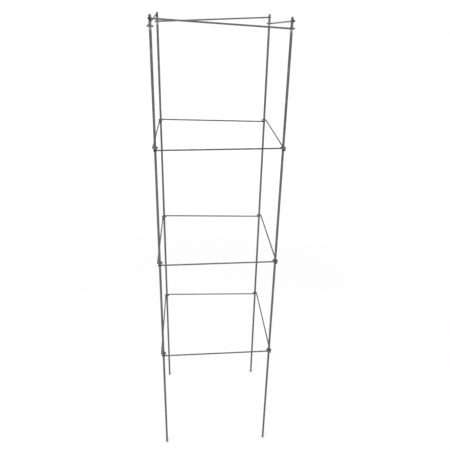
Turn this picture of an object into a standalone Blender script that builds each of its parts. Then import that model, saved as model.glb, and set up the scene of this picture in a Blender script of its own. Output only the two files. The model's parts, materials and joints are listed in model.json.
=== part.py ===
"""Folding tomato cage of galvanised wire, in metres, +Z up, standing on z = 0.

Four alike welded panels stand in a square, each turned a quarter turn from the one before it.
A panel is one thick leg with four thin rungs welded across its outer side. Each rung runs along
one side of the square, and its far end is curled into an eye round the next panel's leg. So the
panels hinge on each other's legs, and the square folds flat in either direction.

The three lower eyes of a side rest just above the welds of the next panel's rungs. The top eye
is caught below the next panel's top rung, so that no leg can be lifted out of its eyes.
"""

import math

import bmesh
import bpy
from mathutils import Matrix, Vector

# The square and its legs
LEG_SPACING = 0.300
LEG_LENGTH = 1.220
LEG_DIAMETER = 0.0060
LEG_END_CHAMFER = 0.0005

# The rungs, by the height of each welded root above the feet
RUNG_DIAMETER = 0.0038
LOWER_RUNG_HEIGHT = 0.337
MIDDLE_RUNG_HEIGHT = 0.628
UPPER_RUNG_HEIGHT = 0.931
TOP_RUNG_BELOW_LEG_TIP = 0.008
RUNG_OVERHANG = 0.0045
RUNG_END_CHAMFER = 0.0004

# The eyes
EYE_CLEARANCE = 0.0006
EYE_END_GAP = 0.0005
EYE_REST_GAP = 0.0004
TOP_EYE_DROP = 0.015

# The welds: how deep a rung is pressed into its leg, and the metal squeezed out round it
WELD_SINK = 0.0008
WELD_TOE = 0.0010
WELD_DEPTH = 0.0044

# The gap that is left between pieces that touch on the real cage
TOUCH_GAP = 0.0003

# How finely round shapes are divided
LEG_BEVEL_RESOLUTION = 4
RUNG_BEVEL_RESOLUTION = 2
EYE_SEGMENTS = 18
WELD_SEGMENTS = 16
WELD_RINGS = 8
SMOOTH_ANGLE = math.radians(50)

# Sizes that follow from those above
LEG_RADIUS = LEG_DIAMETER / 2
RUNG_RADIUS = RUNG_DIAMETER / 2
ROOT_OFFSET = LEG_RADIUS + RUNG_RADIUS - WELD_SINK
EYE_RADIUS = LEG_RADIUS + EYE_CLEARANCE + RUNG_RADIUS
WELD_HALF_HEIGHT = RUNG_RADIUS + WELD_TOE
WELD_HALF_WIDTH = LEG_RADIUS + WELD_TOE
EYE_RISE = WELD_HALF_HEIGHT + EYE_REST_GAP + RUNG_RADIUS
TOP_RUNG_HEIGHT = LEG_LENGTH - TOP_RUNG_BELOW_LEG_TIP

# Each rung's name, the height of its root, and how far its eye lies above that
RUNGS = (
    ("lower", LOWER_RUNG_HEIGHT, EYE_RISE),
    ("middle", MIDDLE_RUNG_HEIGHT, EYE_RISE),
    ("upper", UPPER_RUNG_HEIGHT, EYE_RISE),
    ("top", TOP_RUNG_HEIGHT, -TOP_EYE_DROP),
)

# Each panel's side of the square, and the corner that its leg stands at
PANELS = (
    ("front", "front_left"),
    ("right", "front_right"),
    ("back", "back_right"),
    ("left", "back_left"),
)


def clear_scene():
    """Remove every object of the open scene."""
    for scene_object in list(bpy.data.objects):
        bpy.data.objects.remove(scene_object, do_unlink=True)


def new_collection(name):
    """A collection in the scene, to hold one kind of object."""
    collection = bpy.data.collections.new(name)
    bpy.context.scene.collection.children.link(collection)
    return collection


def steel(name, colour, roughness):
    """Galvanised steel of one colour and roughness."""
    material = bpy.data.materials.new(name)
    material.use_nodes = True
    shader = material.node_tree.nodes["Principled BSDF"]
    shader.inputs["Base Color"].default_value = (*colour, 1)
    shader.inputs["Metallic"].default_value = 1
    shader.inputs["Roughness"].default_value = roughness
    return material


def evaluated_mesh(source, name):
    """A closed mesh of an object as its curve settings and modifiers make it."""
    bpy.context.view_layer.update()
    graph = bpy.context.evaluated_depsgraph_get()
    mesh = bpy.data.meshes.new_from_object(source.evaluated_get(graph))
    mesh.name = name
    shape = bmesh.new()
    shape.from_mesh(mesh)
    bmesh.ops.remove_doubles(shape, verts=shape.verts, dist=1e-6)
    shape.to_mesh(mesh)
    shape.free()
    return mesh


def wire_object(name, points, radius, bevel_resolution, end_chamfer, collection):
    """A round wire along a list of points, with flat ends, as a mesh object."""
    first_turn = (points[1] - points[0]).normalized() * end_chamfer
    last_turn = (points[-1] - points[-2]).normalized() * end_chamfer
    path = [points[0], points[0] + first_turn, *points[1:-1], points[-1] - last_turn, points[-1]]
    curve = bpy.data.curves.new(name, "CURVE")
    curve.dimensions = "3D"
    curve.fill_mode = "FULL"
    curve.bevel_depth = radius
    curve.bevel_resolution = bevel_resolution
    curve.use_fill_caps = True
    spline = curve.splines.new("POLY")
    spline.points.add(len(path) - 1)
    for point, place in zip(spline.points, path):
        point.co = (*place, 1)
    for end in (spline.points[0], spline.points[-1]):
        end.radius = 1 - end_chamfer / radius
    drawn = bpy.data.objects.new(name, curve)
    collection.objects.link(drawn)
    mesh = evaluated_mesh(drawn, name)
    wire = bpy.data.objects.new(name + "_wire", mesh)
    wire.matrix_world = drawn.matrix_world
    collection.objects.link(wire)
    bpy.data.objects.remove(drawn, do_unlink=True)
    return wire


def as_cutter(tool):
    """Keep an object out of the render: it only cuts others."""
    tool.hide_render = True
    tool.display_type = "WIRE"
    return tool


def cut_away(body, cutters):
    """Subtract every cutter from a mesh object with Boolean modifiers."""
    for cutter in cutters:
        cut = body.modifiers.new("cut_by_" + cutter.name, "BOOLEAN")
        cut.operation = "DIFFERENCE"
        cut.solver = "EXACT"
        cut.object = cutter


def rung_plan():
    """Where a rung's straight run starts at its leg and meets the eye's circle, seen from above."""
    root = Vector((0, -ROOT_OFFSET))
    eye_centre = Vector((LEG_SPACING, 0))
    to_centre = eye_centre - root
    turn = math.atan2(to_centre.y, to_centre.x) - math.asin(EYE_RADIUS / to_centre.length)
    return root, eye_centre, turn


def rung_points(root_height, eye_rise):
    """The centre line of one rung: cut end, straight run, then the eye round the next leg."""
    root, eye_centre, turn = rung_plan()
    along = Vector((math.cos(turn), math.sin(turn)))
    tangent = eye_centre + EYE_RADIUS * Vector((math.sin(turn), -math.cos(turn)))
    slope = eye_rise / (tangent - root).length
    start = root - RUNG_OVERHANG * along
    points = [Vector((*start, root_height - RUNG_OVERHANG * slope))]
    closing = (EYE_RADIUS - RUNG_RADIUS - EYE_END_GAP) / (EYE_RADIUS + RUNG_RADIUS)
    sweep = 2 * math.pi - math.acos(closing)
    for step in range(EYE_SEGMENTS + 1):
        angle = turn + sweep * step / EYE_SEGMENTS
        reach = EYE_RADIUS * Vector((math.sin(angle), -math.cos(angle)))
        points.append(Vector((*(eye_centre + reach), root_height + eye_rise)))
    return points


def root_line(root_height, eye_rise, reach):
    """A straight stretch of a rung's centre line that runs past both sides of its weld."""
    root, eye_centre, turn = rung_plan()
    slope = eye_rise / (eye_centre - root).length
    along = Vector((math.cos(turn), math.sin(turn), slope)) * reach
    middle = Vector((*root, root_height))
    return [middle - along, middle + along]


def leg_object(name, radius, end_chamfer, collection):
    """A straight upright wire from the foot to the tip of a leg."""
    ends = [Vector((0, 0, 0)), Vector((0, 0, LEG_LENGTH))]
    return wire_object(name, ends, radius, LEG_BEVEL_RESOLUTION, end_chamfer, collection)


def weld_object(name, height, cutters, collection):
    """The ring of metal squeezed out between a leg and a rung where they cross."""
    ball = bpy.data.meshes.new(name)
    shape = bmesh.new()
    centre = Vector((0, WELD_SINK / 2 - LEG_RADIUS, height))
    half_sizes = (WELD_HALF_WIDTH, WELD_DEPTH / 2, WELD_HALF_HEIGHT, 1)
    place = Matrix.Translation(centre) @ Matrix.Diagonal(half_sizes) @ Matrix.Rotation(math.pi / 2, 4, "X")
    bmesh.ops.create_uvsphere(
        shape, u_segments=WELD_SEGMENTS, v_segments=WELD_RINGS, radius=1, matrix=place
    )
    shape.to_mesh(ball)
    shape.free()
    weld = bpy.data.objects.new(name, ball)
    collection.objects.link(weld)
    cut_away(weld, cutters)
    return weld


def finished(source, name):
    """Turn an object into the final mesh of a piece, shaded smooth but for its real edges."""
    mesh = evaluated_mesh(source, name)
    mesh.shade_smooth()
    mesh.set_sharp_from_angle(angle=SMOOTH_ANGLE)
    bpy.data.objects.remove(source, do_unlink=True)
    return mesh


def panel_meshes(cutters):
    """The meshes of one panel, by piece: its leg, its rungs and their welds.

    A panel's own frame has its leg on the Z axis, the next leg along +X and the outside at -Y.
    """
    fat_leg = LEG_RADIUS + TOUCH_GAP
    leg_cutter = as_cutter(leg_object("leg_cutter", fat_leg, 0, cutters))
    leg = leg_object("leg", LEG_RADIUS, LEG_END_CHAMFER, cutters)
    meshes = {"leg": finished(leg, "leg")}
    for level, height, rise in RUNGS:
        points = rung_points(height, rise)
        name = level + "_rung"
        rung = wire_object(name, points, RUNG_RADIUS, RUNG_BEVEL_RESOLUTION, RUNG_END_CHAMFER, cutters)
        cut_away(rung, [leg_cutter])
        meshes[name] = finished(rung, name)
        line = root_line(height, rise, 3 * WELD_HALF_WIDTH)
        fat_rung = RUNG_RADIUS + TOUCH_GAP
        rung_cutter = as_cutter(
            wire_object(name + "_cutter", line, fat_rung, RUNG_BEVEL_RESOLUTION, 0, cutters)
        )
        weld = weld_object(level + "_weld", height, [leg_cutter, rung_cutter], cutters)
        meshes[level + "_weld"] = finished(weld, level + "_weld")
    return meshes


def add_hinge(side, before, collection):
    """An empty on the axis of a panel's leg, on which the panel turns.

    Each hinge stands on the far leg of the panel before it, turned a quarter turn from it.
    """
    hinge = bpy.data.objects.new(side + "_panel", None)
    hinge.empty_display_size = LEG_SPACING / 4
    collection.objects.link(hinge)
    if before is None:
        hinge.location = (-LEG_SPACING / 2, -LEG_SPACING / 2, 0)
    else:
        hinge.parent = before
        hinge.location = (LEG_SPACING, 0, 0)
        hinge.rotation_euler = (0, 0, math.pi / 2)
    return hinge


def add_piece(name, mesh, material, hinge, collection):
    """One piece of a panel, carried by the panel's hinge."""
    piece = bpy.data.objects.new(name, mesh)
    piece.parent = hinge
    collection.objects.link(piece)
    piece.material_slots[0].link = "OBJECT"
    piece.material_slots[0].material = material


def build_cage():
    """Model one panel's pieces, then place them as four panels hinged in a ring."""
    clear_scene()
    parts = new_collection("folding_tomato_cage")
    cutters = new_collection("cutters")
    leg_steel = steel("leg_wire_zinc", (0.47, 0.48, 0.49), 0.42)
    rung_steel = steel("rung_wire_zinc", (0.52, 0.53, 0.54), 0.38)
    weld_steel = steel("weld_zinc", (0.40, 0.41, 0.42), 0.55)
    meshes = panel_meshes(cutters)
    for mesh in meshes.values():
        mesh.materials.append(None)
    hinge = None
    for side, corner in PANELS:
        hinge = add_hinge(side, hinge, parts)
        add_piece(corner + "_leg", meshes["leg"], leg_steel, hinge, parts)
        for level, _, _ in RUNGS:
            rung = meshes[level + "_rung"]
            weld = meshes[level + "_weld"]
            add_piece(f"{side}_{level}_rung", rung, rung_steel, hinge, parts)
            add_piece(f"{side}_{level}_weld", weld, weld_steel, hinge, parts)


build_cage()
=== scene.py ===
"""Looks of a folding tomato cage of galvanised wire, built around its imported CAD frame, in metres.

The cage is four alike welded panels that hinge on each other's legs. One panel is modelled at the origin,
with its leg on the Z axis, the next leg along +X and the outside of the cage at -Y. Its pieces are then
copied, each copy with its own mesh, and set round the square a quarter turn apart.
"""

import json
import logging
import math
from collections.abc import Callable, Iterator, Sequence
from contextlib import contextmanager
from dataclasses import dataclass, field
from enum import Enum

import bmesh
import bpy
from mathutils import Matrix, Vector

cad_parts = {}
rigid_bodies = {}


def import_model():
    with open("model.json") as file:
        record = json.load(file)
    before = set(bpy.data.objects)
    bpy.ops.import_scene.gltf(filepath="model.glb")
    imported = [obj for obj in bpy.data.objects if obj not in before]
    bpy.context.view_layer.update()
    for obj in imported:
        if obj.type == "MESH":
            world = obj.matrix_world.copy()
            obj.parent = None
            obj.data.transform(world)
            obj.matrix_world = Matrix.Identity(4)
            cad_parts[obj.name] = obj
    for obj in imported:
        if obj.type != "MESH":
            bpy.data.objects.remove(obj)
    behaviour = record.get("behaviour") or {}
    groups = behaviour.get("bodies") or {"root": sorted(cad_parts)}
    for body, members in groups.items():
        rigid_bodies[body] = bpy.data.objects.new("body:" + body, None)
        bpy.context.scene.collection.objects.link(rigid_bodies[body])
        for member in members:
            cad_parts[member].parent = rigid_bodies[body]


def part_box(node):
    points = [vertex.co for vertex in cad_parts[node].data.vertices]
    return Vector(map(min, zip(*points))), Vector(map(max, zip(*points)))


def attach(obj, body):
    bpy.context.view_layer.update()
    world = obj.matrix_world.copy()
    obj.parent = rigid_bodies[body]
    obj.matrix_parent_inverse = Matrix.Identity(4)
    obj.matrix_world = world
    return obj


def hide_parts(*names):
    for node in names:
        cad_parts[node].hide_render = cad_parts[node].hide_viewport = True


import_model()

LOG = logging.getLogger("tomato_cage")
MILLIMETRE = 0.001
QUARTER_TURN = math.pi / 2

# The map for baking, and the attributes that the meshes hand to the materials
BAKE_MAP = "OFBake"
PLACE = "wire_place"
WEAR = "wire_wear"
CUT = "wire_cut"

# The kinds of socket that the node groups have
NUMBER = "NodeSocketFloat"
VECTOR = "NodeSocketVector"

# The Mix node's sockets for colours, by number because its other sockets share their names
MIX_COLOURS = (6, 7)
MIX_RESULT = 2
NODE_SPACING = 180

# Rings of a wire stand at least this far apart
LEAST_STEP = 0.00012

Triple = tuple[float, float, float]
Colour = tuple[float, float, float]
Span = tuple[float, float]
Socket = bpy.types.NodeSocket


class Side(Enum):
    """The side of the square that a panel closes, by its quarter turns from the front."""

    FRONT = 0
    RIGHT = 1
    BACK = 2
    LEFT = 3

    @property
    def panel(self) -> str:
        """The CAD body that the panel of this side is."""
        return self.name.lower() + "_panel"

    @property
    def corner(self) -> str:
        """The corner of the square where this panel's own leg stands."""
        return ("front_left", "front_right", "back_right", "back_left")[self.value]


class Level(Enum):
    """The four rungs of a panel, from the ground up."""

    LOWER = "lower"
    MIDDLE = "middle"
    UPPER = "upper"
    TOP = "top"


@dataclass(frozen=True)
class Rise:
    """Where one rung is welded, and how far its eye lies above that."""

    level: Level
    root: float
    eye: float


def heading(angle: float) -> Vector:
    """The level direction at an angle from the X axis."""
    return Vector((math.cos(angle), math.sin(angle), 0))


def choose(piece: bpy.types.Object) -> None:
    """Select one piece and nothing else, and make it the active one.

    Args:
        piece: The piece.
    """
    bpy.ops.object.select_all(action="DESELECT")
    piece.select_set(True)
    bpy.context.view_layer.objects.active = piece


def settle(piece: bpy.types.Object) -> None:
    """Put a piece's place, turn and scale into its mesh, which leaves its object at the origin."""
    choose(piece)
    bpy.ops.object.transform_apply(location=True, rotation=True, scale=True)


def added(name: str) -> bpy.types.Object:
    """Name the primitive that was just added, and settle it.

    Args:
        name: The name of the new piece.

    Returns:
        The new piece, with its object at the origin.
    """
    piece = bpy.context.active_object
    piece.name = name
    piece.data.name = name
    settle(piece)
    return piece


def copied(master: bpy.types.Object, name: str) -> bpy.types.Object:
    """Copy a piece, with a mesh of its own.

    Args:
        master: The piece to copy.
        name: The name of the copy.

    Returns:
        The copy, in the scene.
    """
    piece = master.copy()
    piece.data = master.data.copy()
    piece.name = name
    piece.data.name = name
    bpy.context.scene.collection.objects.link(piece)
    return piece


def apply_modifiers(piece: bpy.types.Object) -> None:
    """Apply every modifier of a piece, in order.

    Args:
        piece: The mesh object.
    """
    choose(piece)
    for modifier in list(piece.modifiers):
        bpy.ops.object.modifier_apply(modifier=modifier.name)


@contextmanager
def editing(piece: bpy.types.Object) -> Iterator[bmesh.types.BMesh]:
    """Open one piece in edit mode, with nothing else selected.

    Args:
        piece: The mesh object to work on.

    Returns:
        The mesh that is open, for selecting in it.
    """
    choose(piece)
    bpy.ops.object.mode_set(mode="EDIT")
    yield bmesh.from_edit_mesh(piece.data)
    bpy.ops.object.mode_set(mode="OBJECT")


def pick(piece: bpy.types.Object, wanted: Callable[[Vector], bool]) -> None:
    """Select the vertices of an open mesh by their place.

    Args:
        piece: The object that is in edit mode.
        wanted: Says for a place whether the vertex there is selected.
    """
    bpy.ops.mesh.select_mode(type="VERT")
    bpy.ops.mesh.select_all(action="DESELECT")
    shape = bmesh.from_edit_mesh(piece.data)
    for vertex in shape.verts:
        if wanted(vertex.co):
            vertex.select_set(True)
    shape.select_flush_mode()
    bmesh.update_edit_mesh(piece.data)


def pull(step: Vector) -> None:
    """Extrude the selected end face by a step."""
    bpy.ops.mesh.extrude_region_move(TRANSFORM_OT_translate={"value": tuple(step)})


def swell(scale: float, centre: Vector) -> None:
    """Make the selected end face wider or narrower about its centre."""
    bpy.ops.transform.resize(value=(scale, scale, scale), center_override=tuple(centre))


def close_up(piece: bpy.types.Object, angle: float) -> None:
    """Turn a closed mesh's faces outwards and shade it smooth but for its real edges.

    Args:
        piece: The mesh object.
        angle: The angle between faces from which an edge stays sharp, in radians.
    """
    with editing(piece):
        bpy.ops.mesh.select_all(action="SELECT")
        bpy.ops.mesh.normals_make_consistent(inside=False)
    bpy.ops.object.shade_smooth_by_angle(angle=angle)


def smooth_step(low: float, high: float, value: float) -> float:
    """How far a value is from low to high, from 0 to 1, eased at both ends."""
    share = min(max((value - low) / (high - low), 0.0), 1.0)
    return share * share * (3.0 - 2.0 * share)


@dataclass(frozen=True)
class Zone:
    """A stretch of wire whose rings stand closer together: its middle, its reach and their distance."""

    middle: float
    reach: float
    step: float


def stations(start: float, end: float, coarse: float, zones: Sequence[Zone]) -> list[float]:
    """Where along a wire its rings stand: evenly, and closer together in some zones.

    Args:
        start: The first station.
        end: The last station.
        coarse: The distance between rings elsewhere.
        zones: The zones, each of which takes the place of what came before it.

    Returns:
        The stations in order, with the first and the last.
    """
    marks = [start + coarse * k for k in range(1, int((end - start) / coarse) + 1)]
    for zone in zones:
        marks = [m for m in marks if abs(m - zone.middle) > zone.reach]
        count = int(round(zone.reach / zone.step))
        marks += [zone.middle + zone.step * k for k in range(-count, count + 1)]
    kept = [start]
    for mark in sorted(marks):
        if min(mark - kept[-1], end - mark) > LEAST_STEP:
            kept.append(mark)
    return kept + [end]


@dataclass(frozen=True)
class WireMap:
    """How the surface of a wire is laid out for baking: strips side by side, over the two cut faces.

    Sizes are shares of a strip's width, and the heights of the strips are shares of the whole map.
    """

    left: float = 0.04
    width: float = 0.88
    cut_radius: float = 0.40
    gap: float = 0.01
    top: float = 0.985

    def cut_place(self, columns: int, column: int, place: Span) -> Span:
        """Where a point of a cut face lies on the map.

        Args:
            columns: How many strips the map has.
            column: The strip below which the cut face lies.
            place: The point in the wire's section, as shares of its radius.

        Returns:
            The point on the map.
        """
        x, y = place
        return ((column + 0.5 + self.cut_radius * x) / columns, (0.5 + self.cut_radius * y) / columns)

    def strip_place(self, columns: int, column: int, turn: float, up: float) -> Span:
        """Where a point of the wire's round surface lies on the map.

        Args:
            columns: How many strips the map has.
            column: The strip.
            turn: How far round the wire the point is, from 0 to 1, or past it in the face that closes it.
            up: How far up the strip it is, from 0 to 1.

        Returns:
            The point on the map.
        """
        floor = 1 / columns + self.gap
        return ((column + self.left + self.width * turn) / columns, floor + (self.top - floor) * up)


@dataclass
class WireSurface:
    """What the finish of a wire needs to know at each vertex, and the map that it is baked through."""

    along: list[float] = field(default_factory=list)
    across: list[Span] = field(default_factory=list)
    wear: list[Triple] = field(default_factory=list)
    layout: WireMap = WireMap()

    def add(self, along: float, across: Span, wear: Triple) -> None:
        """Add one vertex: its distance along the wire, its place in the section and its wear.

        Args:
            along: The distance along the wire's centre line.
            across: The place in the wire's section, from its middle.
            wear: How much heat, rubbing and bending the surface shows there, each from 0 to 1.
        """
        self.along.append(along)
        self.across.append(across)
        self.wear.append(wear)

    def store(self, mesh: bpy.types.Mesh) -> None:
        """Write the places and the wear to the mesh as attributes.

        Args:
            mesh: The mesh whose vertices were added in order.
        """
        place = mesh.attributes.new(PLACE, "FLOAT_VECTOR", "POINT")
        wear = mesh.attributes.new(WEAR, "FLOAT_VECTOR", "POINT")
        for index, (along, across, worn) in enumerate(zip(self.along, self.across, self.wear)):
            place.data[index].vector = (along, *across)
            wear.data[index].vector = worn

    def store_wire(self, wire: bpy.types.Object, radius: float) -> None:
        """Write the places, the wear, the cut faces and the map for baking to a wire's mesh.

        Args:
            wire: The wire whose vertices were added in order.
            radius: Half its diameter.
        """
        self.store(wire.data)
        cut = wire.data.attributes.new(CUT, "FLOAT", "POINT")
        for vertex in wire.data.vertices:
            cut.data[vertex.index].value = float(len(vertex.groups) > 0)
        wire.vertex_groups.clear()
        self._unroll(wire.data, radius)

    def _unroll(self, mesh: bpy.types.Mesh, radius: float) -> None:
        """Lay the surface out as the map for baking.

        Args:
            mesh: The mesh to map.
            radius: The wire's radius.
        """
        low = min(self.along)
        length = max(self.along) - low
        columns = round(math.sqrt(length / (math.tau * radius)))
        layer = mesh.uv_layers.new(name=BAKE_MAP)
        cut = mesh.attributes[CUT].data
        strips: list[list[bpy.types.MeshPolygon]] = [[] for _ in range(columns)]
        for face in mesh.polygons:
            middle = (sum(self.along[v] for v in face.vertices) / len(face.vertices) - low) / length
            if any(cut[v].value < 1 for v in face.vertices):
                strips[min(int(middle * columns), columns - 1)].append(face)
                continue
            for loop, vertex in zip(face.loop_indices, face.vertices):
                x, y = self.across[vertex]
                layer.data[loop].uv = self.layout.cut_place(columns, round(middle), (x / radius, y / radius))
        for column, faces in enumerate(strips):
            self._lay_strip(layer, faces, column, columns)

    def _lay_strip(
        self,
        layer: bpy.types.MeshUVLoopLayer,
        faces: Sequence[bpy.types.MeshPolygon],
        column: int,
        columns: int,
    ) -> None:
        """Lay one stretch of the wire flat in its strip.

        Args:
            layer: The map.
            faces: The faces of the stretch.
            column: The strip's number from the left.
            columns: How many strips there are.
        """
        reach = [self.along[v] for face in faces for v in face.vertices]
        low, high = min(reach), max(reach)
        for face in faces:
            turns = [self._turn(v) for v in face.vertices]
            if max(turns) - min(turns) > 0.5:
                turns = [turn + 1 if turn < 0.5 else turn for turn in turns]
            for loop, vertex, turn in zip(face.loop_indices, face.vertices, turns):
                up = (self.along[vertex] - low) / (high - low)
                layer.data[loop].uv = self.layout.strip_place(columns, column, turn, up)

    def _turn(self, vertex: int) -> float:
        """How far round the wire a vertex is, from 0 to 1."""
        x, y = self.across[vertex]
        return math.atan2(y, x) / math.tau % 1


@dataclass(frozen=True)
class WearMap:
    """Where a panel's wires show heat from the welds and rubbing from the eyes."""

    leg_radius: float
    weld_sink: float
    heat_reach: float = 0.0062
    rub_reach: float = 0.0021
    rub_core: float = 0.4

    def heat(self, place: Vector, roots: Sequence[float]) -> float:
        """How much heat the surface took at a place.

        Args:
            place: The place in the panel's own frame.
            roots: The heights of the welds that are near.

        Returns:
            A number from 0, far from every weld, to 1 in the middle of one.
        """
        seat = self.weld_sink / 2 - self.leg_radius
        nearest = min((place - Vector((0, seat, root))).length for root in roots)
        return math.exp(-((nearest / self.heat_reach) ** 2))

    def ring_rub(self, height: float, eyes: Sequence[float]) -> float:
        """How much the eyes round a leg have rubbed it at a height, from 0 to 1."""
        return max(1 - smooth_step(self.rub_core, 1.0, abs(height - eye) / self.rub_reach) for eye in eyes)


@dataclass
class Wire:
    """A round wire drawn out of a disc, ring by ring, with sheared ends and the marks of its welding."""

    diameter: float
    sides: int
    cut_chamfer: float
    cut_inset: float
    cut_dish: float
    mark_length: float
    mark_depth: float
    coarse: float
    fine: float
    sharp_edge: float = math.radians(40)

    @property
    def radius(self) -> float:
        """Half the wire's diameter."""
        return self.diameter / 2

    @property
    def blunt(self) -> float:
        """The width of a cut face, as a share of the wire's."""
        return 1 - self.cut_chamfer / self.radius

    def disc(self, name: str, place: Vector, turn: Triple) -> bpy.types.Object:
        """Add the first cut face as a disc.

        Args:
            name: The wire's name.
            place: The middle of the disc.
            turn: Its turn about each axis.

        Returns:
            The disc.
        """
        bpy.ops.mesh.primitive_circle_add(
            vertices=self.sides,
            radius=self.radius * self.blunt,
            fill_type="NGON",
            location=place,
            rotation=turn,
            calc_uvs=False,
        )
        return added(name)

    def draw_out(self, start: Vector, ahead: Vector, marks: Sequence[float]) -> None:
        """Pull the disc over its chamfer, and then from ring to ring.

        Args:
            start: The middle of the disc.
            ahead: The way that the wire runs.
            marks: How far along the wire each ring stands.
        """
        bpy.ops.mesh.select_all(action="SELECT")
        pull(ahead * self.cut_chamfer)
        swell(1 / self.blunt, start + ahead * self.cut_chamfer)
        for low, high in zip(marks, marks[1:]):
            pull(ahead * (high - low))

    def dish(self) -> None:
        """Sink the middle of the selected cut face, and remember the face and its rim in a vertex group."""
        bpy.ops.mesh.inset(thickness=self.cut_inset, depth=-self.cut_dish)
        bpy.ops.mesh.select_more()
        bpy.ops.object.vertex_group_assign_new()

    def press(self, wire: bpy.types.Object, place: Vector, ahead: Vector) -> None:
        """Flatten the wire's side where the welding electrode pressed on it.

        Args:
            wire: The open mesh.
            place: The middle of the mark, on the round side that faces +Y or -Y.
            ahead: The axis that the mark's length is measured along.
        """
        level = place.y - math.copysign(self.mark_depth, place.y)
        reach = self.mark_length / 2
        pick(wire, lambda p: abs((p - place).dot(ahead)) < reach and p.y / level > 1)
        bpy.ops.transform.resize(value=(1, 0, 1), center_override=(0, level, place.z))


@dataclass
class LegWire(Wire):
    """The thick upright wire of a panel, from its foot to its tip."""

    diameter: float = 0.0060
    sides: int = 36
    cut_chamfer: float = 0.0005
    cut_inset: float = 0.0007
    cut_dish: float = 0.00012
    mark_length: float = 0.0042
    mark_depth: float = 0.00016
    coarse: float = 0.020
    fine: float = 0.001
    length: float = 1.220
    worn_reach: float = 0.016

    def build(self, rises: Sequence[Rise], wear_map: WearMap) -> bpy.types.Object:
        """Pull the leg up from a disc at its foot, and press the welding marks into it.

        Args:
            rises: The rungs, for where the leg is marked and worn.
            wear_map: How far heat and rubbing reach.

        Returns:
            The leg in the panel's own frame.
        """
        foot = Vector((0, 0, 0))
        up = Vector((0, 0, 1))
        zones = [Zone(rise.root, self.worn_reach, self.fine) for rise in rises]
        marks = stations(self.cut_chamfer, self.length - self.cut_chamfer, self.coarse, zones)
        leg = self.disc("leg_wire", foot, (0, 0, 0))
        with editing(leg):
            self.draw_out(foot, up, marks)
            pull(up * self.cut_chamfer)
            swell(self.blunt, up * self.length)
            self.dish()
            pick(leg, lambda p: p.z < LEAST_STEP)
            bpy.ops.mesh.select_mode(type="FACE")
            self.dish()
            for rise in rises:
                self.press(leg, Vector((0, self.radius, rise.root)), up)
        close_up(leg, self.sharp_edge)
        self._survey(leg, rises, wear_map)
        return leg

    def _survey(self, leg: bpy.types.Object, rises: Sequence[Rise], wear_map: WearMap) -> None:
        """Store each vertex's place on the wire and its wear, and the map for baking.

        Args:
            leg: The finished mesh.
            rises: The rungs, for the heights of welds and eyes.
            wear_map: How far heat and rubbing reach.
        """
        surface = WireSurface()
        roots = [rise.root for rise in rises]
        eyes = [rise.root + rise.eye for rise in rises]
        for vertex in leg.data.vertices:
            place = vertex.co
            worn = (wear_map.heat(place, roots), wear_map.ring_rub(place.z, eyes), 0.0)
            surface.add(place.z, (place.x, place.y), worn)
        surface.store_wire(leg, self.radius)


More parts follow.
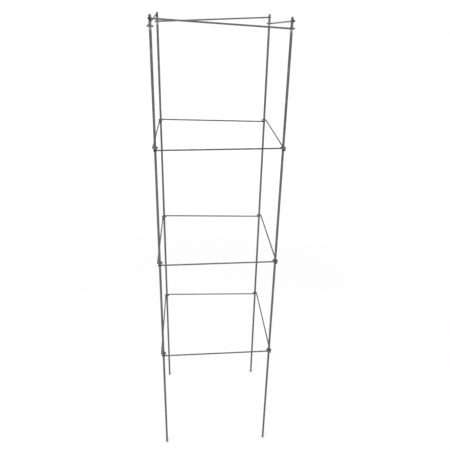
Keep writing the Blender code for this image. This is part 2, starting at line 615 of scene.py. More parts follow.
@dataclass
class RungWire(Wire):
    """A thin wire welded across one leg, with its far end curled into an eye round the next leg.

    The eye shows wear over curl_turn from its start, in radians. It is rubbed towards the leg and crazed
    away from it, where rubbed_side and bent_side say, in wire radii from the eye's middle line.
    """

    diameter: float = 0.0038
    sides: int = 24
    cut_chamfer: float = 0.0004
    cut_inset: float = 0.0005
    cut_dish: float = 0.00010
    mark_length: float = 0.0034
    mark_depth: float = 0.00020
    coarse: float = 0.012
    fine: float = 0.001
    leg: LegWire = field(default_factory=LegWire)
    leg_spacing: float = 0.300
    overhang: float = 0.0045
    weld_sink: float = 0.0008
    eye_clearance: float = 0.0006
    eye_end_gap: float = 0.0005
    eye_steps: int = 72
    cut_tilt: float = math.radians(7.0)
    tip_chamfer: float = 0.00024
    pressed: Zone = Zone(0.0, 0.0036, 0.0004)
    scorched: Zone = Zone(0.009, 0.0052, 0.0013)
    bend_reach: float = 0.004
    curl_turn: Span = (0.0, 0.3)
    rubbed_side: Span = (0.35, 0.9)
    bent_side: Span = (-0.1, 0.8)

    @property
    def offset(self) -> float:
        """How far the rung's middle lies outside its leg's middle."""
        return self.leg.radius + self.radius - self.weld_sink

    @property
    def eye_radius(self) -> float:
        """The radius of the eye's middle line."""
        return self.leg.radius + self.eye_clearance + self.radius

    @property
    def turn(self) -> float:
        """The angle between the straight run and the line from leg to leg."""
        reach = math.hypot(self.leg_spacing, self.offset)
        return math.atan2(self.offset, self.leg_spacing) - math.asin(self.eye_radius / reach)

    @property
    def outwards(self) -> Vector:
        """The level direction out of the cage, square to the straight run."""
        return heading(self.turn - QUARTER_TURN)

    @property
    def run(self) -> float:
        """The length of the straight run from the weld to the eye, seen from above."""
        return (Vector((self.leg_spacing, self.offset, 0)) + self.eye_radius * self.outwards).length

    @property
    def sweep(self) -> float:
        """How far round the next leg the eye goes, in radians."""
        closing = (self.eye_radius - self.radius - self.eye_end_gap) / (self.eye_radius + self.radius)
        return math.tau - math.acos(closing)

    def root(self, rise: Rise) -> Vector:
        """The middle of the wire at its weld."""
        return Vector((0, -self.offset, rise.root))

    def centre(self, rise: Rise) -> Vector:
        """The middle of the eye."""
        return Vector((self.leg_spacing, 0, rise.root + rise.eye))

    def build(self, rise: Rise, wear_map: WearMap) -> bpy.types.Object:
        """Pull the straight run out of a disc at the cut end, then spin its end into the eye.

        Args:
            rise: The rung's level, the height of its weld and the rise of its eye.
            wear_map: How far heat reaches from the weld.

        Returns:
            The rung in the panel's own frame.
        """
        slope = heading(self.turn) + Vector((0, 0, rise.eye / self.run))
        start = self.root(rise) - self.overhang * slope
        tip = self.sweep - self.cut_chamfer / self.eye_radius
        zones = [self.pressed, self.scorched, Zone(self.run, self.bend_reach, self.fine)]
        marks = stations(self.cut_chamfer - self.overhang, self.run, self.coarse, zones)
        rung = self.disc(rise.level.value + "_rung", start, (0, QUARTER_TURN, self.turn))
        with editing(rung) as shape:
            self.draw_out(start, slope, marks)
            straight = len(shape.verts)
            bpy.ops.mesh.spin(
                steps=self.eye_steps,
                angle=-tip,
                center=tuple(self.centre(rise)),
                axis=(0, 0, 1),
                use_auto_merge=False,
            )
            self._cut_tip(self.centre(rise), self.turn + tip)
            self._cut_start(rung, start)
            side = self.root(rise) - Vector((0, self.radius, 0))
            self.press(rung, side, Vector((1, 0, 0)))
        close_up(rung, self.sharp_edge)
        self._survey(rung, rise, straight, wear_map)
        return rung

    def _cut_tip(self, centre: Vector, angle: float) -> None:
        """Narrow, tilt and dish the end face of the eye, as a shear leaves it.

        Args:
            centre: The middle of the eye.
            angle: The way that the wire runs at its end face.
        """
        step = heading(angle) * self.tip_chamfer
        middle = centre + self.eye_radius * heading(angle - QUARTER_TURN) + step
        pull(step)
        swell(self.blunt, middle)
        bpy.ops.transform.rotate(value=self.cut_tilt, orient_axis="Z", center_override=tuple(middle))
        self.dish()

    def _cut_start(self, rung: bpy.types.Object, start: Vector) -> None:
        """Tilt and dish the cut face beside the weld, a little less than the tip's.

        Args:
            rung: The open mesh.
            start: The middle of the cut face.
        """
        along = heading(self.turn)
        tilt = self.cut_tilt * self.blunt
        pick(rung, lambda p: (p - start).dot(along) < LEAST_STEP)
        bpy.ops.mesh.select_mode(type="FACE")
        bpy.ops.transform.rotate(value=tilt, orient_axis="Z", center_override=tuple(start))
        self.dish()

    def _survey(self, rung: bpy.types.Object, rise: Rise, straight: int, wear_map: WearMap) -> None:
        """Store each vertex's place on the wire and its wear, and the map for baking.

        The distance along the wire counts from the height of the weld, so that no two rungs of a panel have
        the same streaks.

        Args:
            rung: The finished mesh.
            rise: The rung's level and heights.
            straight: How many vertices the straight run has, before those of the cut faces.
            wear_map: How far heat reaches from the weld.
        """
        surface = WireSurface()
        along, outwards, run = heading(self.turn), self.outwards, self.run
        root, centre = self.root(rise), self.centre(rise)
        for vertex in rung.data.vertices:
            heat = wear_map.heat(vertex.co, [rise.root])
            from_root = vertex.co - root
            from_centre = vertex.co - centre
            away = from_centre.to_2d().length
            if vertex.index < straight or away > self.leg_spacing / 2:
                reach = from_root.dot(along)
                across = (from_root.dot(outwards), from_root.z - rise.eye * reach / run)
                surface.add(reach + rise.root, across, (heat, 0.0, 0.0))
                continue
            turned = math.atan2(from_centre.dot(along), from_centre.dot(outwards)) % math.tau
            side = away - self.eye_radius
            curled = smooth_step(*self.curl_turn, turned)
            rubbed = curled * smooth_step(*self.rubbed_side, -side / self.radius)
            bent = curled * smooth_step(*self.bent_side, side / self.radius)
            reach = run + self.eye_radius * turned
            surface.add(reach + rise.root, (side, from_centre.z), (heat, rubbed, bent))
        surface.store_wire(rung, self.radius)


@dataclass
class WeldNugget:
    """The metal squeezed out round the crossing of a leg and a rung, modelled in millimetres."""

    rung: RungWire
    half_size: Triple = (4.0, 2.2, 2.9)
    lens_share: Triple = (0.86, 0.86, 0.88)
    region_share: Triple = (1.06, 1.12, 1.06)
    leg_stub: float = 10.0
    leg_sides: int = 72
    rung_stub: float = 13.0
    rung_sides: int = 48
    egg_sides: int = 48
    skin: float = 0.030
    voxel: float = 0.15
    melting: float = 0.5
    melting_rounds: int = 36
    lump_size: float = 1.1
    lump_height: float = 0.16
    lump_layers: int = 2
    lump_fade: Span = (0.75, 1.15)
    faces_kept: float = 0.45
    sharp_edge: float = math.radians(60)

    @property
    def leg_radius(self) -> float:
        """Half the leg's diameter."""
        return self.rung.leg.radius / MILLIMETRE

    @property
    def rung_radius(self) -> float:
        """Half the rung's diameter."""
        return self.rung.radius / MILLIMETRE

    @property
    def rung_middle(self) -> Vector:
        """The middle of the rung where it crosses the leg."""
        return Vector((0, -self.rung.offset / MILLIMETRE, 0))

    @property
    def middle(self) -> Vector:
        """The middle of the squeezed metal, halfway into the rung's seat in the leg."""
        return Vector((0, self.rung.weld_sink / MILLIMETRE / 2 - self.leg_radius, 0))

    def build(self) -> bpy.types.Object:
        """Melt stubs of the two wires and a lens of metal together, and keep what is near the weld.

        Returns:
            The nugget for a weld at height 0, in the panel's own frame, in metres.
        """
        nugget = self._melted()
        region = self._egg("weld_region", self.region_share)
        cut = nugget.modifiers.new("near_the_weld", "BOOLEAN")
        cut.operation = "INTERSECT"
        cut.solver = "EXACT"
        cut.object = region
        thin = nugget.modifiers.new("fewer_faces", "DECIMATE")
        thin.ratio = self.faces_kept
        apply_modifiers(nugget)
        bpy.data.objects.remove(region, do_unlink=True)
        nugget.vertex_groups.clear()
        nugget.scale = (MILLIMETRE, MILLIMETRE, MILLIMETRE)
        settle(nugget)
        close_up(nugget, self.sharp_edge)
        return nugget

    def _egg(self, name: str, share: Triple) -> bpy.types.Object:
        """An egg round the middle of the weld.

        Args:
            name: The egg's name.
            share: How large it is along each axis, as a share of the squeezed metal.

        Returns:
            The egg as a closed mesh.
        """
        bpy.ops.mesh.primitive_uv_sphere_add(
            segments=self.egg_sides,
            ring_count=self.egg_sides // 2,
            location=self.middle,
            calc_uvs=False,
        )
        bpy.context.active_object.scale = [half * part for half, part in zip(self.half_size, share)]
        return added(name)

    def _melted(self) -> bpy.types.Object:
        """Join the stubs and the lens, remesh them as one skin and smooth the inner corners round.

        Returns:
            The melted crossing.
        """
        bpy.ops.mesh.primitive_cylinder_add(
            vertices=self.leg_sides,
            radius=self.leg_radius + self.skin,
            depth=self.leg_stub,
            calc_uvs=False,
        )
        leg = added("leg_stub")
        bpy.ops.mesh.primitive_cylinder_add(
            vertices=self.rung_sides,
            radius=self.rung_radius + self.skin,
            depth=self.rung_stub,
            location=self.rung_middle,
            rotation=(0, QUARTER_TURN, 0),
            calc_uvs=False,
        )
        rung = added("rung_stub")
        nugget = self._egg("weld_nugget", self.lens_share)
        for part in (leg, rung):
            part.select_set(True)
        bpy.ops.object.join()
        remesh = nugget.modifiers.new("one_skin", "REMESH")
        remesh.mode = "VOXEL"
        remesh.voxel_size = self.voxel
        melt = nugget.modifiers.new("melt", "SMOOTH")
        melt.factor = self.melting
        melt.iterations = self.melting_rounds
        apply_modifiers(nugget)
        self._roughen(nugget)
        return nugget

    def _roughen(self, nugget: bpy.types.Object) -> None:
        """Give the squeezed metal its lumps, strongest near the weld.

        Args:
            nugget: The melted crossing.
        """
        near = nugget.vertex_groups.new(name="near")
        for vertex in nugget.data.vertices:
            reach = vertex.co - self.middle
            scaled = Vector([part / half for part, half in zip(reach, self.half_size)])
            near.add([vertex.index], 1 - smooth_step(*self.lump_fade, scaled.length), "REPLACE")
        lumps = bpy.data.textures.new("squeezed_lumps", "CLOUDS")
        lumps.noise_scale = self.lump_size
        lumps.noise_depth = self.lump_layers
        push = nugget.modifiers.new("lumps", "DISPLACE")
        push.texture = lumps
        push.texture_coords = "LOCAL"
        push.strength = self.lump_height
        push.vertex_group = near.name
        apply_modifiers(nugget)

    @staticmethod
    def survey(weld: bpy.types.Object, root: float, wear_map: WearMap) -> None:
        """Store the heat at each vertex of a weld.

        Args:
            weld: The weld at its own height.
            root: That height.
            wear_map: How far heat reaches.
        """
        surface = WireSurface()
        for vertex in weld.data.vertices:
            place = vertex.co
            surface.add(place.z, (place.x, place.y), (wear_map.heat(place, [root]), 0.0, 0.0))
        surface.store(weld.data)


@dataclass(frozen=True)
class Pattern:
    """A noise: the size of its lumps along a wire and across it, its finer layers and their strength."""

    along: float
    across: float
    layers: float
    strength: float

    @classmethod
    def lumps(cls, size: float, layers: float, strength: float) -> "Pattern":
        """A noise that lies in space, with lumps of one size all ways."""
        return cls(size, size, layers, strength)


class NodeLayout:
    """Short calls for laying out shader nodes in a material or a group."""

    def __init__(self, tree: bpy.types.NodeTree) -> None:
        """Work on a tree from its left side."""
        self.tree = tree
        self.column = 0

    def node(self, kind: str, **settings: object) -> bpy.types.Node:
        """Add a node.

        Args:
            kind: The node's type name.
            settings: The properties to set on it.

        Returns:
            The new node.
        """
        made = self.tree.nodes.new(kind)
        made.location = (NODE_SPACING * self.column, 0)
        self.column += 1
        for name, value in settings.items():
            setattr(made, name, value)
        return made

    def link(self, source: Socket, target: Socket) -> None:
        """Join an output to an input."""
        self.tree.links.new(source, target)

    def feed(self, value: Socket | float | Sequence[float], target: Socket) -> None:
        """Join an output to an input, or set the input to a value.

        Args:
            value: An output, a number or a colour.
            target: The input.
        """
        if isinstance(value, Socket):
            self.link(value, target)
        else:
            target.default_value = value

    def math(self, operation: str, *values: Socket | float) -> Socket:
        """Add a Math node.

        Args:
            operation: What it does.
            values: Its inputs, sockets or numbers.

        Returns:
            Its result.
        """
        made = self.node("ShaderNodeMath", operation=operation)
        for value, target in zip(values, made.inputs):
            self.feed(value, target)
        return made.outputs[0]

    def weighted(self, share: float, first: Socket, second: Socket) -> Socket:
        """Add up two values, the second with its share and the first with the rest."""
        rest = self.math("MULTIPLY", first, 1 - share)
        return self.math("ADD", rest, self.math("MULTIPLY", second, share))

    def ramp(self, value: Socket, span: Span, result: Span = (0.0, 1.0)) -> Socket:
        """Map a value from one span to another, eased and clamped.

        Args:
            value: What is mapped.
            span: The values that give the ends of the result.
            result: The first and the last result.

        Returns:
            The mapped value.
        """
        made = self.node("ShaderNodeMapRange", interpolation_type="SMOOTHSTEP")
        self.link(value, made.inputs["Value"])
        for name, number in zip(("From Min", "From Max", "To Min", "To Max"), (*span, *result)):
            made.inputs[name].default_value = number
        return made.outputs["Result"]

    def noise(self, vector: Socket, pattern: Pattern) -> Socket:
        """Add a noise.

        Args:
            vector: The place, on a wire or in space.
            pattern: What the noise is like.

        Returns:
            The noise, about 0.5 on average.
        """
        scaled = self.node("ShaderNodeMapping", vector_type="POINT")
        self.link(vector, scaled.inputs["Vector"])
        scaled.inputs["Scale"].default_value = (1 / pattern.along, 1 / pattern.across, 1 / pattern.across)
        made = self.node("ShaderNodeTexNoise", noise_dimensions="3D")
        self.link(scaled.outputs["Vector"], made.inputs["Vector"])
        made.inputs["Scale"].default_value = 1.0
        made.inputs["Detail"].default_value = pattern.layers
        made.inputs["Roughness"].default_value = pattern.strength
        return made.outputs["Fac"]

    def swing(self, vector: Socket, pattern: Pattern) -> Socket:
        """Add a noise that swings to both sides of 0."""
        return self.math("SUBTRACT", self.noise(vector, pattern), 0.5)

    def mix(self, share: Socket | float, first: Socket | Colour, second: Socket | Colour) -> Socket:
        """Blend two colours.

        Args:
            share: How much of the second shows.
            first: A colour or an output.
            second: A colour or an output.

        Returns:
            The blended colour.
        """
        made = self.node("ShaderNodeMix", data_type="RGBA")
        self.feed(share, made.inputs["Factor"])
        for value, number in zip((first, second), MIX_COLOURS):
            paint = value if isinstance(value, Socket) else (*value, 1.0)
            self.feed(paint, made.inputs[number])
        return made.outputs[MIX_RESULT]


@dataclass
class EffectGroups:
    """The shader node groups that the finishes share, each built once, with the patterns they are made of.

    A span is where a pattern's own value starts to show and where it shows whole.
    """

    broad_streak: Pattern = Pattern(0.060, 0.0016, 3, 0.55)
    fine_streak: Pattern = Pattern(0.012, 0.00028, 2, 0.6)
    fine_share: float = 0.35
    streak_span: Span = (0.36, 0.64)
    drawn_grain: Pattern = Pattern(0.0009, 0.00045, 3, 0.6)
    grain_share: float = 0.4
    zinc_patch: Pattern = Pattern.lumps(0.011, 5, 0.62)
    patch_span: Span = (0.50, 0.68)
    zinc_drift: Pattern = Pattern.lumps(0.090, 1, 0.5)
    drift_span: Span = (0.30, 0.70)
    scorch_edge: Pattern = Pattern.lumps(0.0011, 4, 0.6)
    scorch_raggedness: float = 0.34
    burnt_span: Span = (0.40, 0.66)
    fringe_rise: Span = (0.12, 0.30)
    fringe_fall: Span = (0.36, 0.52)
    straw_span: Span = (0.28, 0.46)
    rub_scratch: Pattern = Pattern(0.00013, 0.0040, 3, 0.65)
    scratch_depth: float = 0.5
    rub_span: Span = (0.62, 1.02)
    torn_edge: Pattern = Pattern.lumps(0.0008, 4, 0.6)
    torn_raggedness: float = 0.9
    bare_span: Span = (0.45, 0.75)
    rust_bloom: Pattern = Pattern.lumps(0.0014, 4, 0.65)
    rust_span: Span = (0.46, 0.66)
    streaks: bpy.types.NodeTree = field(init=False)
    bloom: bpy.types.NodeTree = field(init=False)
    scorch: bpy.types.NodeTree = field(init=False)
    polish: bpy.types.NodeTree = field(init=False)
    shear: bpy.types.NodeTree = field(init=False)

    def __post_init__(self) -> None:
        """Build every group."""
        self.streaks = self._streaks()
        self.bloom = self._bloom()
        self.scorch = self._scorch()
        self.polish = self._polish()
        self.shear = self._shear()

    @staticmethod
    def _open(
        name: str, inputs: dict[str, str], outputs: Sequence[str]
    ) -> tuple[NodeLayout, bpy.types.NodeOutputs, bpy.types.NodeInputs]:
        """Start a group.

        Args:
            name: The group's name.
            inputs: The kind of each input by its name.
            outputs: The name of each output, all numbers.

        Returns:
            The tree, the sockets that its inputs come from and those that its outputs go to.
        """
        tree = bpy.data.node_groups.new(name, "ShaderNodeTree")
        for label, kind in inputs.items():
            tree.interface.new_socket(label, in_out="INPUT", socket_type=kind)
        for label in outputs:
            tree.interface.new_socket(label, in_out="OUTPUT", socket_type=NUMBER)
        build = NodeLayout(tree)
        return build, build.node("NodeGroupInput").outputs, build.node("NodeGroupOutput").inputs

    def _streaks(self) -> bpy.types.NodeTree:
        """Long soft streaks and fine lines that the drawing die leaves along a wire.

        Returns:
            The group, from a place on the wire to a tone and a height.
        """
        build, given, wanted = self._open("drawn_wire_streaks", {"Place": VECTOR}, ("Tone", "Height"))
        broad = build.noise(given["Place"], self.broad_streak)
        fine = build.noise(given["Place"], self.fine_streak)
        grain = build.noise(given["Place"], self.drawn_grain)
        tone = build.weighted(self.fine_share, broad, fine)
        build.link(build.ramp(tone, self.streak_span), wanted["Tone"])
        build.link(build.weighted(self.grain_share, fine, grain), wanted["Height"])
        return build.tree

    def _bloom(self) -> bpy.types.NodeTree:
        """Dull patches of zinc that has begun to weather, and the coating's own slow change of tone.

        Returns:
            The group, from a position to the patches and the slow change.
        """
        build, given, wanted = self._open("zinc_bloom", {"Position": VECTOR}, ("Patches", "Drift"))
        patches = build.noise(given["Position"], self.zinc_patch)
        build.link(build.ramp(patches, self.patch_span), wanted["Patches"])
        drift = build.noise(given["Position"], self.zinc_drift)
        build.link(build.ramp(drift, self.drift_span), wanted["Drift"])
        return build.tree

    def _scorch(self) -> bpy.types.NodeTree:
        """Zinc burnt off round a weld, a straw tint at its edge and the pale fringe of its oxide.

        Returns:
            The group, from the heat at a position to the three masks.
        """
        inputs = {"Heat": NUMBER, "Position": VECTOR}
        build, given, wanted = self._open("weld_scorch", inputs, ("Burnt", "Fringe", "Straw"))
        ragged = build.swing(given["Position"], self.scorch_edge)
        hot = build.math("MULTIPLY_ADD", ragged, self.scorch_raggedness, given["Heat"])
        build.link(build.ramp(hot, self.burnt_span), wanted["Burnt"])
        rising = build.ramp(hot, self.fringe_rise)
        falling = build.ramp(hot, self.fringe_fall, (1.0, 0.0))
        build.link(build.math("MULTIPLY", rising, falling), wanted["Fringe"])
        build.link(build.ramp(hot, self.straw_span), wanted["Straw"])
        return build.tree

    def _polish(self) -> bpy.types.NodeTree:
        """Bright metal where wires rub, broken by the fine scratches that run round the leg.

        Returns:
            The group, from the rubbing at a place on the wire to a mask and the scratches' height.
        """
        inputs = {"Rub": NUMBER, "Place": VECTOR}
        build, given, wanted = self._open("rubbed_ring", inputs, ("Mask", "Scratch"))
        scratch = build.noise(given["Place"], self.rub_scratch)
        worn = build.math("MULTIPLY_ADD", scratch, self.scratch_depth, given["Rub"])
        build.link(build.ramp(worn, self.rub_span), wanted["Mask"])
        build.link(build.math("MULTIPLY", scratch, given["Rub"]), wanted["Scratch"])
        return build.tree

    def _shear(self) -> bpy.types.NodeTree:
        """Bare steel on a cut face, ragged where zinc was dragged over its rim, with a first bloom of rust.

        Returns:
            The group, from the cut faces and a position to the two masks.
        """
        inputs = {"Cut": NUMBER, "Position": VECTOR}
        build, given, wanted = self._open("sheared_face", inputs, ("Bare", "Rust"))
        ragged = build.swing(given["Position"], self.torn_edge)
        edge = build.math("MULTIPLY_ADD", ragged, self.torn_raggedness, given["Cut"])
        bare = build.ramp(edge, self.bare_span)
        build.link(bare, wanted["Bare"])
        rust = build.ramp(build.noise(given["Position"], self.rust_bloom), self.rust_span)
        build.link(build.math("MULTIPLY", rust, bare), wanted["Rust"])
        return build.tree


@dataclass(frozen=True)
class Layer:
    """What one effect does where it shows: its tone, how far it covers, and how it shifts gloss and metal."""

    tone: Colour
    cover: float = 1.0
    roughness: float = 0.0
    metallic: float = 0.0


class Coat:
    """A material's colour, roughness and metal while its layers are laid over each other."""

    colour: Socket
    roughness: Socket
    metallic: Socket | float

    def __init__(self, name: str) -> None:
        """Start an empty material and read the piece's position and wear.

        Args:
            name: The material's name.
        """
        self.made = bpy.data.materials.new(name)
        self.made.use_nodes = True
        self.made.node_tree.nodes.clear()
        self.build = NodeLayout(self.made.node_tree)
        self.position = self.build.node("ShaderNodeTexCoord").outputs["Object"]
        parts = self.build.node("ShaderNodeSeparateXYZ")
        self.build.link(self.attribute(WEAR, "Vector"), parts.inputs[0])
        self.heat, self.rub, self.bend = parts.outputs

    def attribute(self, name: str, output: str) -> Socket:
        """Read one of the mesh's attributes."""
        return self.build.node("ShaderNodeAttribute", attribute_name=name).outputs[output]

    def effect(self, group: bpy.types.NodeTree, **inputs: Socket) -> bpy.types.Node:
        """Place a shared group and feed it.

        Args:
            group: The node group.
            inputs: The output that feeds each named input.

        Returns:
            The group's node.
        """
        placed = self.build.node("ShaderNodeGroup", node_tree=group)
        for name, value in inputs.items():
            self.build.link(value, placed.inputs[name])
        return placed

    def start(self, colour: Socket, roughness: Socket, metallic: float) -> None:
        """Set what lies under every layer.

        Args:
            colour: The bare finish's colour.
            roughness: Its roughness.
            metallic: How metallic it is.
        """
        self.colour = colour
        self.roughness = roughness
        self.metallic = metallic

    def lay(self, mask: Socket, layer: Layer) -> None:
        """Lay one effect over what is there.

        Args:
            mask: Where it shows.
            layer: What it does there.
        """
        build = self.build
        cover = mask if layer.cover == 1.0 else build.math("MULTIPLY", mask, layer.cover)
        self.colour = build.mix(cover, self.colour, layer.tone)
        if layer.roughness:
            self.roughness = build.math("MULTIPLY_ADD", mask, layer.roughness, self.roughness)
        if layer.metallic:
            self.metallic = build.math("MULTIPLY_ADD", mask, layer.metallic, self.metallic)

    def close(self, height: Socket, relief: float) -> bpy.types.Material:
        """Join the layers to the shader.

        Args:
            height: The height of the fine relief, from 0 to about 1.
            relief: What a height of 1 is in metres.

        Returns:
            The finished material.
        """
        build = self.build
        bump = build.node("ShaderNodeBump")
        bump.inputs["Strength"].default_value = 1.0
        bump.inputs["Distance"].default_value = relief
        build.link(height, bump.inputs["Height"])
        shader = build.node("ShaderNodeBsdfPrincipled")
        build.link(self.colour, shader.inputs["Base Color"])
        build.feed(self.roughness, shader.inputs["Roughness"])
        build.feed(self.metallic, shader.inputs["Metallic"])
        build.link(bump.outputs["Normal"], shader.inputs["Normal"])
        build.link(shader.outputs[0], build.node("ShaderNodeOutputMaterial").inputs["Surface"])
        return self.made


@dataclass(frozen=True)
class ZincFinish:
    """Galvanised wire: its tones, how it shines and what each effect does to it."""

    name: str
    bright: Colour
    dull: Colour
    chalk: Layer = Layer((0.25, 0.25, 0.247), roughness=0.28, metallic=-0.35)
    rubbed: Layer = Layer((0.33, 0.33, 0.325), cover=0.8, roughness=-0.12)
    fringe: Layer = Layer((0.25, 0.25, 0.247), cover=0.45, metallic=-0.30)
    bare: Layer = Layer((0.190, 0.187, 0.184))
    rust: Layer = Layer((0.105, 0.058, 0.032), cover=0.7, roughness=0.25, metallic=-0.5)
    straw: Layer = Layer((0.120, 0.105, 0.086), cover=0.6, roughness=0.22)
    burnt: Layer = Layer((0.045, 0.042, 0.040), cover=0.9, metallic=-0.25)
    metallic: float = 0.88
    roughness: float = 0.39
    streak_share: float = 0.7
    streak_gloss: float = 0.08
    bloom: float = 0.45
    bend_chalk: float = 0.35
    scratch_height: float = 0.6
    burn_depth: float = 0.8
    relief: float = 0.000022

    def material(self, groups: EffectGroups) -> bpy.types.Material:
        """Build the wire's material.

        Args:
            groups: The shared node groups.

        Returns:
            The material.
        """
        coat = Coat(self.name)
        build = coat.build
        place = coat.attribute(PLACE, "Vector")
        streaks = coat.effect(groups.streaks, Place=place).outputs
        bloom = coat.effect(groups.bloom, Position=coat.position).outputs
        scorch = coat.effect(groups.scorch, Heat=coat.heat, Position=coat.position).outputs
        polish = coat.effect(groups.polish, Rub=coat.rub, Place=place).outputs
        shear = coat.effect(groups.shear, Cut=coat.attribute(CUT, "Fac"), Position=coat.position).outputs
        tone = build.weighted(self.streak_share, bloom["Drift"], streaks["Tone"])
        gloss = build.math("MULTIPLY_ADD", streaks["Tone"], -self.streak_gloss, self.roughness)
        coat.start(build.mix(tone, self.dull, self.bright), gloss, self.metallic)
        patches = build.math("MULTIPLY", bloom["Patches"], self.bloom)
        crazed = build.math("MULTIPLY", coat.bend, self.bend_chalk)
        coat.lay(build.math("MAXIMUM", patches, crazed), self.chalk)
        coat.lay(polish["Mask"], self.rubbed)
        coat.lay(scorch["Fringe"], self.fringe)
        coat.lay(shear["Bare"], self.bare)
        coat.lay(shear["Rust"], self.rust)
        coat.lay(scorch["Straw"], self.straw)
        coat.lay(scorch["Burnt"], self.burnt)
        height = build.math("MULTIPLY_ADD", polish["Scratch"], self.scratch_height, streaks["Height"])
        height = build.math("MULTIPLY_ADD", scorch["Burnt"], -self.burn_depth, height)
        return coat.close(height, self.relief)


@dataclass(frozen=True)
class NuggetFinish:
    """Bare steel squeezed out of a weld, dark with scale, with zinc that ran back over it."""

    name: str
    scale: Colour = (0.046, 0.044, 0.042)
    steel: Colour = (0.125, 0.122, 0.119)
    speck: Layer = Layer((0.25, 0.25, 0.247), cover=0.40)
    fringe: Layer = Layer((0.25, 0.25, 0.247), cover=0.40, metallic=-0.3)
    grain: Pattern = Pattern.lumps(0.0007, 5, 0.65)
    grain_span: Span = (0.38, 0.66)
    specks: Pattern = Pattern.lumps(0.0016, 3, 0.6)
    speck_span: Span = (0.56, 0.70)
    metallic: float = 0.65
    roughness: float = 0.40
    grain_gloss: float = 0.3
    relief: float = 0.00007

    def material(self, groups: EffectGroups) -> bpy.types.Material:
        """Build the weld's material.

        Args:
            groups: The shared node groups.

        Returns:
            The material.
        """
        coat = Coat(self.name)
        build = coat.build
        scorch = coat.effect(groups.scorch, Heat=coat.heat, Position=coat.position).outputs
        grain = build.noise(coat.position, self.grain)
        specks = build.noise(coat.position, self.specks)
        rough = build.math("MULTIPLY_ADD", grain, self.grain_gloss, self.roughness)
        tone = build.ramp(grain, self.grain_span)
        coat.start(build.mix(tone, self.scale, self.steel), rough, self.metallic)
        coat.lay(build.ramp(specks, self.speck_span), self.speck)
        coat.lay(scorch["Fringe"], self.fringe)
        return coat.close(grain, self.relief)


@dataclass
class Cage:
    """The whole cage: one panel modelled, and set round the square four times."""

    rung: RungWire = field(default_factory=RungWire)
    roots: tuple[float, ...] = (0.337, 0.628, 0.931, 1.212)
    eye_rise: float = 0.0052
    top_eye_rise: float = -0.0150
    leg_bright: Colour = (0.158, 0.160, 0.163)
    leg_dull: Colour = (0.078, 0.080, 0.083)
    rung_bright: Colour = (0.150, 0.152, 0.155)
    rung_dull: Colour = (0.074, 0.076, 0.079)
    pattern_shift: float = 3.7

    @property
    def rises(self) -> tuple[Rise, ...]:
        """The rungs of a panel, whose top eye hangs below its weld while the others lie above theirs."""
        eyes = (self.eye_rise, self.eye_rise, self.eye_rise, self.top_eye_rise)
        return tuple(Rise(level, root, eye) for level, root, eye in zip(Level, self.roots, eyes))

    def build(self) -> list[bpy.types.Object]:
        """Model one panel, copy it to each side and dress every copy.

        Returns:
            The pieces.
        """
        rises = self.rises
        wear_map = WearMap(self.rung.leg.radius, self.rung.weld_sink)
        groups = EffectGroups()
        leg_zinc = ZincFinish("leg_wire_zinc", self.leg_bright, self.leg_dull).material(groups)
        rung_zinc = ZincFinish("rung_wire_zinc", self.rung_bright, self.rung_dull).material(groups)
        weld_scale = NuggetFinish("weld_scale").material(groups)
        leg = self.rung.leg.build(rises, wear_map)
        rungs = {rise: self.rung.build(rise, wear_map) for rise in rises}
        nugget = WeldNugget(self.rung).build()
        welds = {rise: self._raised_weld(nugget, rise, wear_map) for rise in rises}
        pieces = []
        for side in Side:
            pieces.append(self._place(leg, side, side.corner + "_leg", leg_zinc))
            for rise in rises:
                name = f"{side.name.lower()}_{rise.level.value}"
                pieces.append(self._place(rungs[rise], side, name + "_rung", rung_zinc))
                pieces.append(self._place(welds[rise], side, name + "_weld", weld_scale))
        for master in (leg, nugget, *rungs.values(), *welds.values()):
            bpy.data.objects.remove(master, do_unlink=True)
        return pieces

    @staticmethod
    def _raised_weld(nugget: bpy.types.Object, rise: Rise, wear_map: WearMap) -> bpy.types.Object:
        """Copy the nugget to the height of one rung, and turn every other one over.

        Args:
            nugget: The nugget at height 0.
            rise: The rung it belongs to.
            wear_map: How far heat reaches.

        Returns:
            The weld in the panel's own frame.
        """
        weld = copied(nugget, rise.level.value + "_weld")
        over = -1 if rise.level in (Level.MIDDLE, Level.TOP) else 1
        weld.data.transform(Matrix.Translation((0, 0, rise.root)) @ Matrix.Diagonal((over, 1, over, 1)))
        WeldNugget.survey(weld, rise.root, wear_map)
        return weld

    def _place(
        self, master: bpy.types.Object, side: Side, node: str, finish: bpy.types.Material
    ) -> bpy.types.Object:
        """Copy a piece of the panel to one side of the square, in place of its CAD node.

        Args:
            master: The piece in the panel's own frame.
            side: The side of the square.
            node: The CAD node that the copy stands for.
            finish: The copy's material.

        Returns:
            The piece.
        """
        piece = copied(master, node + "_piece")
        half = self.rung.leg_spacing / 2
        corner = Matrix.Translation((-half, -half, 0))
        piece.data.transform(Matrix.Rotation(side.value * QUARTER_TURN, 4, "Z") @ corner)
        for item in piece.data.attributes[PLACE].data:
            item.vector[0] += self.pattern_shift * side.value
        piece.data.materials.clear()
        piece.data.materials.append(finish)
        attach(piece, side.panel)
        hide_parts(node)
        self._report(piece, node)
        return piece

    @staticmethod
    def _report(piece: bpy.types.Object, node: str) -> None:
        """Log a piece with its faces and how far its box is from its CAD node's.

        Args:
            piece: The finished piece.
            node: The CAD node that it stands for.
        """
        low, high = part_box(node)
        places = [vertex.co for vertex in piece.data.vertices]
        gaps = [abs(min(p[k] for p in places) - low[k]) for k in range(3)]
        gaps += [abs(max(p[k] for p in places) - high[k]) for k in range(3)]
        gap = max(gaps) / MILLIMETRE
        LOG.info("%s: %d faces, box within %.2f mm", piece.name, len(piece.data.polygons), gap)


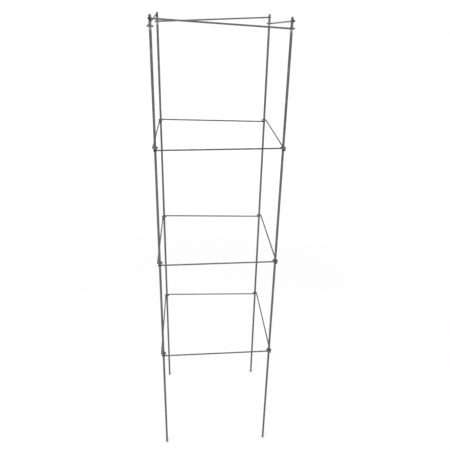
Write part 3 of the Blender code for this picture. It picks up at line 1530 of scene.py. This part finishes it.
@dataclass(frozen=True)
class SoftLight:
    """A square soft light: its name, its place, the length of its side and its power in watts."""

    name: str
    place: Triple
    size: float
    power: float

    def build(self, aim: Vector) -> None:
        """Set up the light, facing a point.

        Args:
            aim: The point.
        """
        light = bpy.data.lights.new(self.name, "AREA")
        light.shape = "SQUARE"
        light.size = self.size
        light.energy = self.power
        lamp = bpy.data.objects.new(self.name, light)
        lamp.location = self.place
        lamp.rotation_euler = (aim - Vector(self.place)).to_track_quat("-Z", "Y").to_euler()
        bpy.context.scene.collection.objects.link(lamp)


@dataclass
class Studio:
    """The pale floor, the soft lights and the white around them.

    Seen by the camera, the floor glows a little more with its distance from the cage, so that it stays white.
    """

    floor_size: float = 14.0
    floor_colour: Colour = (0.80, 0.80, 0.80)
    floor_roughness: float = 0.9
    glow: Span = (0.27, 0.56)
    glow_reach: Span = (0.7, 3.5)
    ambient: float = 0.62
    aim: Triple = (0, 0, 0.6)
    lights: tuple[SoftLight, ...] = (
        SoftLight("key_light", (-1.6, -1.9, 2.6), 1.6, 30),
        SoftLight("fill_light", (2.2, -1.2, 1.6), 1.8, 10),
        SoftLight("top_light", (0.2, 0.6, 3.0), 1.8, 14),
    )

    def build(self) -> None:
        """Lay the floor and set up the lights and the world."""
        self._floor()
        self._world()
        for light in self.lights:
            light.build(Vector(self.aim))
        LOG.info("studio: floor, world and %d soft lights", len(self.lights))

    def _floor(self) -> None:
        """A plain floor that shows white to the camera and still takes the cage's shadow."""
        bpy.ops.mesh.primitive_plane_add(size=self.floor_size, location=(0, 0, 0))
        floor = added("floor")
        made = bpy.data.materials.new("pale_floor")
        made.use_nodes = True
        build = NodeLayout(made.node_tree)
        shader = made.node_tree.nodes["Principled BSDF"]
        shader.inputs["Base Color"].default_value = (*self.floor_colour, 1)
        shader.inputs["Roughness"].default_value = self.floor_roughness
        shader.inputs["Specular IOR Level"].default_value = 0.0
        shader.inputs["Emission Color"].default_value = (1, 1, 1, 1)
        reach = build.node("ShaderNodeVectorMath", operation="LENGTH")
        build.link(build.node("ShaderNodeTexCoord").outputs["Object"], reach.inputs[0])
        glow = build.ramp(reach.outputs["Value"], self.glow_reach, self.glow)
        seen = self._seen_directly(build)
        build.link(build.math("MULTIPLY", seen, glow), shader.inputs["Emission Strength"])
        floor.data.materials.append(made)

    @staticmethod
    def _seen_directly(build: NodeLayout) -> Socket:
        """Whether a ray comes from the camera, or from metal or glass that mirrors the scene.

        Args:
            build: The tree to add the test to.

        Returns:
            1 for such a ray and 0 for any other.
        """
        rays = build.node("ShaderNodeLightPath")
        seen = build.math("MAXIMUM", rays.outputs["Is Camera Ray"], rays.outputs["Is Glossy Ray"])
        return build.math("MAXIMUM", seen, rays.outputs["Is Transmission Ray"])

    def _world(self) -> None:
        """A world that is white where it shows, and softer as a light."""
        world = bpy.data.worlds.new("studio")
        world.use_nodes = True
        bpy.context.scene.world = world
        build = NodeLayout(world.node_tree)
        back = world.node_tree.nodes["Background"]
        back.inputs["Color"].default_value = (1, 1, 1, 1)
        seen = self._seen_directly(build)
        build.link(build.math("MULTIPLY_ADD", seen, 1 - self.ambient, self.ambient), back.inputs["Strength"])


@dataclass
class ProductCamera:
    """The camera at the photograph's place and angle."""

    place: Triple = (-0.0786, -1.2498, 1.2402)
    yaw: float = 0.0859
    pitch: float = 0.4272
    roll: float = 0.0217
    lens: float = 38.67
    sensor: float = 36.0

    def build(self) -> None:
        """Add the camera and make it the scene's."""
        ahead = Vector((math.sin(self.yaw), math.cos(self.yaw), -math.tan(self.pitch))).normalized()
        level = Vector((math.cos(self.yaw), -math.sin(self.yaw), 0))
        upright = level.cross(ahead)
        right = math.cos(self.roll) * level + math.sin(self.roll) * upright
        up = math.cos(self.roll) * upright - math.sin(self.roll) * level
        data = bpy.data.cameras.new("product_camera")
        data.lens = self.lens
        data.sensor_width = self.sensor
        camera = bpy.data.objects.new("product_camera", data)
        axes = Matrix((right, up, -ahead)).transposed().to_4x4()
        camera.matrix_world = Matrix.Translation(self.place) @ axes
        bpy.context.scene.collection.objects.link(camera)
        bpy.context.scene.camera = camera
        LOG.info("camera: lens %.1f mm", self.lens)


def main() -> None:
    """Build the cage, the studio and the camera."""
    logging.basicConfig(level=logging.INFO, format="%(message)s")
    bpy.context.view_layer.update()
    pieces = Cage().build()
    LOG.info("cage: %d pieces", len(pieces))
    Studio().build()
    ProductCamera().build()
    bpy.context.scene.view_settings.view_transform = "Standard"


if __name__ == "__main__":
    main()
